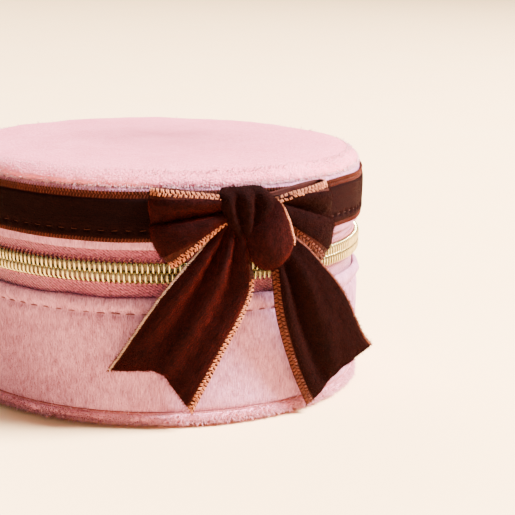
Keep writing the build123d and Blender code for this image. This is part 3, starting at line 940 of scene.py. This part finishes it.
def band_sewing_piece():
    """The stitches through the ribbon near its lower edge."""
    middle = -pi + (np.arange(SEWN_COUNT) + 1) * tau / SEWN_COUNT

    def height(angles, t):
        return SEWN_Z + band_dip(angles) + 0.08 * t * np.cos(middle * 47)[:, None]

    return running_stitch("band_sewing", middle, 1.3, CASE_R + 0.52, 0.06, height, dark_thread, 0.13)


band_sewing = band_sewing_piece()


# --- bow ------------------------------------------------------------------------------------------
class Cloth:
    """A ribbon's middle surface, from rows of control points (arc, height, stand-off) along it, with so
    many points along and across, and creases as deep as wrinkle."""

    def __init__(self, name, seed, rows, along=90, across=33, wrinkle=0.1, thick=0.36):
        self.name = name
        net = through(rows, along)
        net = np.swapaxes(through(np.swapaxes(net, 0, 1), across), 0, 1)
        self.middle = off_wall(net)
        self.normal = self.normals()
        crease = waves(self.middle, 3.4, seed) * 0.6 + waves(self.middle, 1.7, seed + 1) * 0.4
        v = np.linspace(0, 1, across)
        self.middle = self.middle + (wrinkle * crease * np.sin(pi * v) ** 0.5)[..., None] * self.normal
        self.normal = self.normals()
        self.thick = thick
        self.v = v

    def normals(self):
        du, dv = np.gradient(self.middle, axis=0), np.gradient(self.middle, axis=1)
        n = np.cross(du, dv)
        n /= np.linalg.norm(n, axis=-1, keepdims=True) + 1e-12
        outward = self.middle * (1, 1, 0)
        row, column = n.shape[0] // 4, n.shape[1] // 2
        if (n[row, column] * outward[row, column]).sum() < 0:
            n = -n
        return n

    def piece(self, name, edges=(SELVEDGE, SELVEDGE), pile=ribbon_velvet):
        """A closed mesh with rounded long edges, thinner along woven edges of those widths."""
        along, across = self.middle.shape[:2]
        width = np.linalg.norm(np.diff(self.middle, axis=1), axis=-1).sum(1).mean()
        from_edge = np.minimum(self.v, 1 - self.v) * width
        half = self.thick * np.clip(from_edge / 0.25, 0, 1) ** 0.5
        woven = np.where(self.v < 0.5, edges[0], edges[1])
        step = np.where(woven > 0, np.clip((from_edge - woven) / 0.3, 0, 1), 1)
        half = half * (0.55 + 0.45 * step)
        front = self.middle + self.normal * half[:, None]
        back = self.middle - self.normal * half[:, None]
        ring = np.concatenate([front, back[:, -2:0:-1]], axis=1)
        faces, ci, cj = grid_faces(along, ring.shape[1], close_columns=True)
        length = np.linalg.norm(np.diff(self.middle, axis=0), axis=-1).sum(0).mean()
        uvs = np.stack([ci * length / along, cj * width / across], -1).reshape(-1, 2)
        fold = np.minimum(cj[:, 0], 2 * (across - 1) - cj[:, 0] - 1).clip(0, across - 1)
        share = (fold + 0.5) / (across - 1)
        on_low = share * width < edges[0]
        on_high = (1 - share) * width < edges[1]
        paint_of = (on_low | on_high).astype(int).tolist()
        n, caps = ring.shape[1], []
        for row in (0, along - 1):
            for j in range(across - 1):
                a, b = row * n + j, row * n + j + 1
                c, d = row * n + (n - j - 1) % n, row * n + (n - j) % n
                caps.append([a, b, c] if j == 0 else [a, b, c, d] if j < across - 2 else [a, b, d])
        corners = sum(len(cap) for cap in caps)
        faces = faces.tolist() + caps
        uvs = np.concatenate([uvs, np.zeros((corners, 2))])
        paint_of += [0] * len(caps)
        return new_piece(name, ring, faces, [pile, selvedge], uvs, paint_of)

    def picots(self, part, side, paint=picot_thread, start=0.0, stop=1.0, width=SELVEDGE):
        """A braid of thread over one long edge, side 0 or 1: pairs of short strokes in two columns."""
        name = f"{self.name}_{part}"
        rng = np.random.default_rng(len(name) + 300)
        across = self.middle.shape[1]
        edge, inner = (0, 1) if side == 0 else (across - 1, across - 2)
        line = self.middle[:, edge]
        run = np.concatenate([[0], np.cumsum(np.linalg.norm(np.diff(line, axis=0), axis=1))])
        columns, pitch = [(0.0, 0.7, -0.3, 0.15)], PICOT / 2
        if width > 1:
            columns, pitch = [(0.0, 0.58, 0.12, 0.15), (0.5, 1.02, 0.62, -0.12)], PICOT
        t = np.linspace(0, 1, 7)
        paths, ups = [], []
        for shift, far, near, lean in columns:
            for strand in (-0.16, 0.16):
                at = np.arange(run[-1] * start, run[-1] * stop, pitch) + (shift + strand) * pitch
                at = at + rng.normal(0, 0.035, len(at))
                base, out, ahead, up = (
                    np.stack([np.interp(at, run, field[:, k]) for k in range(3)], 1)
                    for field in (
                        line,
                        self.middle[:, edge] - self.middle[:, inner],
                        np.gradient(line, axis=0),
                        self.normal[:, edge],
                    )
                )
                out /= np.linalg.norm(out, axis=1, keepdims=True) + 1e-12
                ahead /= np.linalg.norm(ahead, axis=1, keepdims=True) + 1e-12
                reach = -width * (far + (near - far) * t) + rng.normal(0, 0.04, (len(at), 1))
                tilt = lean * (t - 0.5) * 2 * rng.uniform(0.6, 1.3, (len(at), 1))
                lift = self.thick * 0.5 + 0.16 * np.sin(pi * t) ** 0.6
                paths.append(
                    base[:, None]
                    + out[:, None] * reach[..., None]
                    + up[:, None] * lift[:, None]
                    + ahead[:, None] * tilt[..., None]
                )
                ups.append(np.repeat(up[:, None], len(t), axis=1))
        paths, ups = np.concatenate(paths), np.concatenate(ups)
        return tubes(name, paths, 0.14 * (pitch / PICOT) ** 0.5, ups, paint, sides=5)

    def nap(self, count, seed):
        """Fibres standing off the pile side."""
        rng = np.random.default_rng(seed)
        along, across = self.middle.shape[:2]
        i = rng.integers(0, along - 1, count)
        j = rng.integers(2, across - 2, count)
        share = rng.uniform(0, 1, (count, 1))
        roots = self.middle[i, j] * (1 - share) + self.middle[i + 1, j] * share
        away = self.normal[i, j]
        roots += rng.uniform(-0.5, 0.5, (count, 1)) * (self.middle[i, j + 1] - self.middle[i, j])
        roots += away * self.thick * 0.8
        return fuzz(f"{self.name}_nap", roots, away, (0.25, 0.65), ribbon_fibre, seed + 1)

    def edge_nap(self, column, count, seed):
        """Pile that stands out past a long edge, at the first or the last column of the surface."""
        rng = np.random.default_rng(seed)
        i = rng.integers(1, self.middle.shape[0] - 1, count)
        beside = 1 if column == 0 else column - 1
        out = self.middle[i, column] - self.middle[i, beside]
        out /= np.linalg.norm(out, axis=1, keepdims=True)
        roots = self.middle[i, column] - 0.15 * out
        roots += rng.uniform(0, 1, (count, 1)) * (self.middle[i + 1, column] - self.middle[i, column])
        roots += rng.uniform(-0.3, 0.3, (count, 1)) * self.normal[i, column]
        return fuzz(f"{self.name}_edge_nap", roots, out, (0.35, 0.9), dark_and_shaded_thread, seed + 1, thick=0.05)

    def frayed(self, count, seed):
        """Threads that stick out of the cut end."""
        rng = np.random.default_rng(seed)
        j = rng.integers(0, self.middle.shape[1], count)
        ahead = self.middle[-1, j] - self.middle[-3, j]
        ahead /= np.linalg.norm(ahead, axis=1, keepdims=True)
        roots = self.middle[-1, j] - 0.1 * ahead
        roots += rng.uniform(-0.3, 0.3, (count, 1)) * self.normal[-1, j]
        return fuzz(f"{self.name}_fray", roots, ahead, (0.3, 1.0), dark_and_shaded_thread, seed + 1, thick=0.05)


def rows_of(*rows):
    """Rows of (arc, height, stand-off) from rows of three lists."""
    return [list(zip(*row)) for row in rows]


left_loop_cloth = Cloth(
    "left_loop", 110,
    rows_of(
        ([-6.5] * 6, [48, 47.4, 46.4, 45.9, 45.2, 44.4], [5.6, 6, 5.2, 6.2, 6, 5.2]),
        (
            [-10.2, -10.2, -10, -10, -9.8, -9.4], [49.3, 48, 45.9, 45.2, 44.2, 43.2],
            [6.2, 7.4, 5.2, 7.4, 7.2, 6]
        ),
        (
            [-14, -14, -13.8, -13.8, -13.2, -12.2], [50, 47.9, 45, 44.2, 42.4, 40.6],
            [6.2, 7.6, 4.9, 7.3, 7.8, 6.6]
        ),
        (
            [-17.6, -17.8, -17.6, -17.6, -16.8, -14.8], [50.4, 47.6, 44.2, 43.4, 40.6, 37.9],
            [5.8, 7.2, 4.7, 6.9, 7.6, 6.8]
        ),
        (
            [-20.6, -21, -20.6, -20.8, -19.6, -16.8], [50.6, 47.2, 43.6, 42.7, 39.2, 35.8],
            [4.8, 5.8, 4.2, 5.8, 6.4, 6.2]
        ),
        (
            [-21.9, -22.3, -21.8, -22.1, -20.9, -18], [50.5, 47, 43.1, 42.1, 38.4, 34.9],
            [3, 3.5, 3, 3.7, 4.5, 5]
        ),
        (
            [-20.4, -20.8, -20.6, -20.6, -19.6, -17.6], [50.2, 47, 43.4, 42.2, 39.4, 36.8],
            [1.6, 1.6, 1.6, 1.7, 2.2, 3.6]
        ),
        (
            [-16, -16, -16, -16, -15.6, -14.6], [49.8, 47.4, 44.6, 43.6, 41.6, 39.6],
            [1.5, 1.5, 1.5, 1.5, 1.5, 1.8]
        ),
        ([-8] * 6, [48.6, 47.6, 46.4, 45.8, 45, 44.2], [1.5] * 6)
    ),
    along=140
)
right_loop_cloth = Cloth(
    "right_loop", 120,
    rows_of(
        ([-1] * 6, [47.8, 47.2, 46.4, 45.8, 45, 44], [5.4, 5.8, 5, 6, 5.8, 5]),
        (
            [2.4, 2.6, 2.6, 2.6, 2.6, 2.6], [48.8, 47.9, 46.5, 45.8, 44, 42.2],
            [5.8, 6.6, 4.8, 6.8, 6.8, 5.8]
        ),
        (
            [5.8, 6.2, 6.2, 6.2, 6, 5.2], [49.5, 47.8, 45.2, 44.4, 41.8, 39.4],
            [5.9, 6.9, 4.7, 6.9, 7.2, 6.2]
        ),
        ([9.2, 10, 10, 10, 9.4, 7.8], [50, 47.4, 43.8, 43, 39.8, 37], [5.5, 6.6, 4.5, 6.6, 7.2, 6.4]),
        (
            [12.3, 13.6, 13.9, 13.9, 12.7, 10], [50.3, 46.8, 42.4, 41.6, 37.8, 34.9],
            [4.6, 5.4, 4.1, 5.5, 6.2, 6.2]
        ),
        ([13.5, 15.2, 16.3, 16.2, 14.2, 11.4], [50.3, 46.4, 42, 41, 37, 34], [3, 3.4, 3, 3.6, 4.6, 5.2]),
        (
            [12.4, 14, 15, 15, 13.4, 11.6], [50, 46.4, 42.4, 41.4, 38.6, 36.8],
            [1.6, 1.6, 1.6, 1.7, 2.2, 3.6]
        ),
        ([8, 9, 9.6, 9.6, 9, 8.2], [49.6, 47, 44, 43.2, 41.2, 39.6], [1.5, 1.5, 1.5, 1.5, 1.5, 1.8]),
        ([0] * 6, [48.2, 47.4, 46.4, 45.8, 45, 44.2], [1.5] * 6)
    ),
    along=130
)
knot_cloth = Cloth(
    "knot", 130,
    rows_of(
        ([-9, -8, -6.9, -5.8, -4.7, -3.6, -2.6], [49.2] * 7, [1.8] * 7),
        (
            [-9.8, -8.6, -7.3, -6, -4.6, -3.3, -2], [50, 50.1, 50.2, 50.3, 50.4, 50.4, 50.2],
            [4.4, 4.8, 4.6, 5, 4.6, 5, 4.4]
        ),
        (
            [-10.4, -9, -7.6, -6, -4.4, -2.8, -1], [49, 49.3, 49.4, 49.5, 49.5, 49.4, 48.9],
            [6.6, 7.9, 7.2, 8.3, 7.4, 8.4, 6.8]
        ),
        (
            [-10, -8.8, -7.4, -5.8, -4.2, -2.4, -0.2], [46.8, 47.2, 47.2, 47.2, 47.2, 47.2, 47.4],
            [6.8, 8.4, 7.2, 8.8, 7.4, 8.8, 7.2]
        ),
        (
            [-9, -8, -6.9, -5.6, -4.4, -3, -1.2], [44, 44.4, 44.5, 44.5, 44.5, 44.5, 44.4],
            [6.4, 8.2, 7, 8.6, 7.2, 8.2, 6.8]
        ),
        (
            [-7.4, -6.8, -6.1, -5.3, -4.5, -3.6, -2.6], [41.4, 41.6, 41.7, 41.7, 41.7, 41.6, 41.4],
            [5.8, 7.2, 6.2, 7.4, 6.4, 7.2, 6]
        ),
        ([-6.2, -5.8, -5.4, -4.9, -4.4, -3.9, -3.4], [39.4] * 7, [4.6, 5.2, 5, 5.2, 5, 5.2, 4.6])
    ),
    along=70, across=49
)
petal_cloth = Cloth(
    "petal", 140,
    rows_of(
        ([-0.7, -0.5, -0.3, -0.1, 0.1], [48, 48.1, 48.1, 48.1, 48], [6.4, 6.7, 6.8, 6.7, 6.4]),
        ([-1.6, -1, -0.3, 0.3, 0.9], [46.2, 46.5, 46.6, 46.6, 46.4], [6.8, 7.9, 8.4, 8.4, 8]),
        ([-3.3, -2.1, -0.8, 0.4, 1.6], [44.3, 44.6, 44.7, 44.7, 44.4], [7, 8.7, 9.4, 9.2, 8.5]),
        ([-5, -3.2, -1.3, 0.7, 2.4], [42.3, 42.4, 42.4, 42.3, 42], [7, 9.1, 9.9, 9.5, 8.4]),
        ([-5.2, -3.3, -1, 1.4, 3.3], [39.6, 39.6, 39.6, 39.5, 39.4], [6.6, 9.1, 9.9, 9.3, 7.8]),
        ([-4.8, -3, -0.9, 1.4, 3.3], [37.2, 37.1, 37, 37.1, 37.4], [6.2, 8.6, 9.4, 8.8, 6.9]),
        ([-3.7, -2.4, -0.8, 0.9, 2.3], [35.4, 35.2, 35.1, 35.2, 35.5], [5.8, 7.6, 8.2, 7.6, 5.8]),
        ([-2.1, -1.5, -0.7, 0.2, 1], [34.4, 34.2, 34.1, 34.2, 34.4], [5.3, 6.2, 6.6, 6.2, 5.3]),
        ([-1.8, -1.3, -0.7, 0, 0.7], [35.2, 35, 34.9, 35, 35.2], [4.7, 4.9, 5, 4.9, 4.7])
    ),
    along=72, across=33, wrinkle=0.06
)


def tail_rows(left_edge, right_edge, off_left, off_right, folds, depth, notch):
    """Rows along a tail, from its two edges (arc, height), their stand-off and its folds.
    The cut end is notched by that much along the ribbon."""
    left_edge, right_edge = np.array(left_edge), np.array(right_edge)
    columns = len(folds)
    v = np.linspace(0, 1, columns)
    rows = []
    for k, (left, right) in enumerate(zip(left_edge, right_edge)):
        place = left[None] * (1 - v[:, None]) + right[None] * v[:, None]
        if k == len(left_edge) - 1:
            place = place + np.array(notch)[None] * (1 - np.abs(2 * v - 1))[:, None]
        off = off_left[k] * (1 - v) + off_right[k] * v + depth[k] * np.array(folds)
        rows.append(np.column_stack([place, off]))
    return rows


left_tail_cloth = Cloth(
    "left_tail", 150,
    tail_rows(
        [
            (-9, 44.4), (-11.4, 40.9), (-14.2, 37.2), (-17, 33.6), (-20, 29.4), (-22.9, 24.8),
            (-25.6, 20.2), (-28, 16.2), (-30.2, 12.9)
        ],
        [
            (-6.2, 44.4), (-5.2, 40.8), (-4.4, 36.6), (-3.5, 32.6), (-3.5, 28.4), (-5.5, 22.7),
            (-8.2, 16.8), (-11, 10.5), (-14, 3.9)
        ],
        [5, 5.2, 5.4, 5.4, 5.2, 4.7, 3.9, 3, 2.2], [5.6, 5.9, 6, 5.6, 5, 4.4, 3.7, 3, 2.4],
        [0, 0.9, -0.5, 1.2, -0.1, 0.8, 0], [1, 1.3, 1.5, 1.4, 1.1, 0.8, 0.55, 0.35, 0.2], (1.8, 4.9)
    )
)
right_tail_cloth = Cloth(
    "right_tail", 160,
    tail_rows(
        [
            (-0.8, 37.6), (0, 34.6), (0.5, 31), (1, 27), (2.2, 22.2), (4.3, 16.6), (6.8, 11), (9.4, 6.2),
            (12, 1.9)
        ],
        [
            (4, 40.2), (7, 37.2), (10.4, 33.2), (13.6, 29.6), (16.3, 26), (18.8, 21.7), (21, 18),
            (23, 15.2), (25.2, 13.3)
        ],
        [5, 5.2, 5.3, 5, 4.4, 3.6, 2.9, 2.4, 2.1], [6.4, 7.2, 7.6, 7.8, 7.9, 8, 8.1, 8.2, 8.3],
        [0, 0.8, -0.9, 0.9, 0.6, 0.3, 0], [0.8, 1.3, 1.5, 1.3, 1.1, 0.9, 0.7, 0.5, 0.3], (-0.2, 1.7)
    )
)

left_loop = left_loop_cloth.piece("bow_left_loop")
# the right loop, the knot and the right tail take the darker ribbon velvet: painted shade
right_loop = right_loop_cloth.piece("bow_right_loop", pile=shaded_ribbon_velvet)
knot = knot_cloth.piece("bow_knot_wrap", edges=(0, 0), pile=shaded_ribbon_velvet)
petal = petal_cloth.piece("bow_knot_petal", edges=(0, 0.8))
left_tail = left_tail_cloth.piece("bow_left_tail", edges=(NARROW_EDGE, SELVEDGE))
right_tail = right_tail_cloth.piece("bow_right_tail", edges=(SELVEDGE, 0), pile=shaded_ribbon_velvet)
for piece, node in (
    (left_loop, "bow_loop_left"), (right_loop, "bow_loop_right"), (knot, "bow_knot"),
    (left_tail, "bow_tail_left"), (right_tail, "bow_tail_right")
):
    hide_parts(node)
bow_edges = {
    left_loop: [
        left_loop_cloth.picots("edge_top", 0), left_loop_cloth.picots("edge_low", 1),
        left_loop_cloth.nap(6000, 230)
    ],
    right_loop: [
        # the darker thread on the right loop's lower edge is painted shade
        right_loop_cloth.picots("edge_top", 0), right_loop_cloth.picots("edge_low", 1, dark_and_shaded_thread),
        right_loop_cloth.nap(5500, 232)
    ],
    knot: [knot_cloth.nap(3000, 234)],
    petal: [petal_cloth.picots("edge", 1, stop=0.62, width=0.8), petal_cloth.nap(2400, 236)],
    left_tail: [
        # the paler thread on the outer edge is a painted highlight
        left_tail_cloth.picots("edge_outer", 0, highlit_thread, width=NARROW_EDGE),
        left_tail_cloth.picots("edge_inner", 1, start=0.3), left_tail_cloth.nap(7000, 238),
        left_tail_cloth.frayed(600, 240), left_tail_cloth.edge_nap(0, 900, 248)
    ],
    right_tail: [
        # the darker thread on the right tail's edges is painted shade
        right_tail_cloth.picots("edge", 0, dark_and_shaded_thread),
        right_tail_cloth.picots("edge_outer", 1, dark_and_shaded_thread, width=NARROW_EDGE),
        right_tail_cloth.nap(7000, 242), right_tail_cloth.frayed(600, 244),
        right_tail_cloth.edge_nap(32, 1200, 246)
    ]
}


def repaint(node, paint):
    nodes[node].data.materials.clear()
    nodes[node].data.materials.append(paint)


for node in ("foot_board", "base_wall_board", "lid_wall_board", "lid_top_board", "mirror_backing"):
    repaint(node, board)
repaint("mirror", mirror_glass())
for node in ("zip_stops_lower", "zip_stops_upper", "slider_body", "slider_pull"):
    repaint(node, gold_metal)
    bevel = nodes[node].modifiers.new("worn edges", "BEVEL")
    bevel.width, bevel.segments, bevel.limit_method = 0.12 * MM, 3, "ANGLE"

# --- what rides on what, and the slot it is listed under ------------------------------------------
bow = [piece for ribbon, edges in bow_edges.items() for piece in (ribbon, *edges)]
for body, slot, members in (
    ("base", "velvet", [base_wall, foot, foot_seam, foot_fuzz_low, foot_fuzz_high, hem_stitches]),
    ("base", "lining", [base_lining, floor_cushion, divider_long, divider_short, *ring_cushions]),
    ("base", "zip_tape", [tape_lower, filler_lower, sewing_lower]), ("base", "zip_coil", [coil_lower]),
    ("lid", "velvet", [lid_wall, lid_top, top_fuzz]), ("lid", "lining", [lid_lining, mirror_cushion]),
    ("lid", "zip_tape", [tape_upper, filler_upper, sewing_upper]), ("lid", "zip_coil", [coil_upper]),
    ("lid", "ribbon", [band, picots_low, picots_high, band_sewing, *bow])
):
    for piece in members:
        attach(piece, body)
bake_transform(hinge_cloth)


# --- stage, lights and camera ---------------------------------------------------------------------
def stage_floor():
    paint = Paint("floor", 0.2, Roughness=0.8)
    grain = paint.noise(60, "Object", detail=2)
    paint.colour(paint.mix(grain, rgb(255, 212, 158), rgb(255, 218, 168)))
    half = 3000
    points = [(-half, -half, 0), (half, -half, 0), (half, half, 0), (-half, half, 0)]
    floor = new_piece("floor", points, [(0, 1, 2, 3)], paint.material)


def area_light(name, at, aim, size, power, tint=(1, 1, 1)):
    data = bpy.data.lights.new(name, "AREA")
    data.shape, data.size, data.energy, data.color = "DISK", size, power, tint
    light = bpy.data.objects.new(name, data)
    light.location = at
    light.rotation_mode = "QUATERNION"
    light.rotation_quaternion = (Vector(aim) - Vector(at)).to_track_quat("-Z", "Y")
    bpy.context.scene.collection.objects.link(light)


def stage_world():
    world = bpy.data.worlds.new("studio")
    world.use_nodes = True
    background = world.node_tree.nodes["Background"]
    background.inputs["Color"].default_value = (1.0, 0.95, 0.92, 1)
    background.inputs["Strength"].default_value = 0.315
    bpy.context.scene.world = world


stage_floor()
stage_world()
area_light("key", (1.2, -0.87, 1.55), (0, 0, 0.03), 0.7, 525.0, (1.0, 0.965, 0.94))
area_light("fill", (-1.5, -1.3, 0.75), (0, 0, 0.03), 1.4, 7.0, (1.0, 0.96, 0.93))
area_light("back", (0.2, 2.0, 1.6), (0, 0, 0.04), 1.2, 70.0, (1.0, 0.94, 0.86))

CAMERA_AT = (-0.1462, -0.2998, 0.0992)
CAMERA_HEADING, CAMERA_DIP, CAMERA_ROLL = radians(29.848), radians(12.342), radians(1.12)
CAMERA_LENS = 103.5


def place_camera():
    data = bpy.data.cameras.new("camera")
    data.lens, data.sensor_width = CAMERA_LENS, 36.0
    data.clip_start, data.clip_end = 0.01, 20
    camera = bpy.data.objects.new("camera", data)
    ahead = Vector((
        sin(CAMERA_HEADING) * cos(CAMERA_DIP), cos(CAMERA_HEADING) * cos(CAMERA_DIP), -sin(CAMERA_DIP)
    ))
    level = Vector((cos(CAMERA_HEADING), -sin(CAMERA_HEADING), 0))
    upright = level.cross(ahead)
    right = level * cos(CAMERA_ROLL) + upright * sin(CAMERA_ROLL)
    up = upright * cos(CAMERA_ROLL) - level * sin(CAMERA_ROLL)
    turn = Matrix((right, up, -ahead)).transposed()
    camera.matrix_world = Matrix.Translation(CAMERA_AT) @ turn.to_4x4()
    bpy.context.scene.collection.objects.link(camera)
    bpy.context.scene.camera = camera


place_camera()
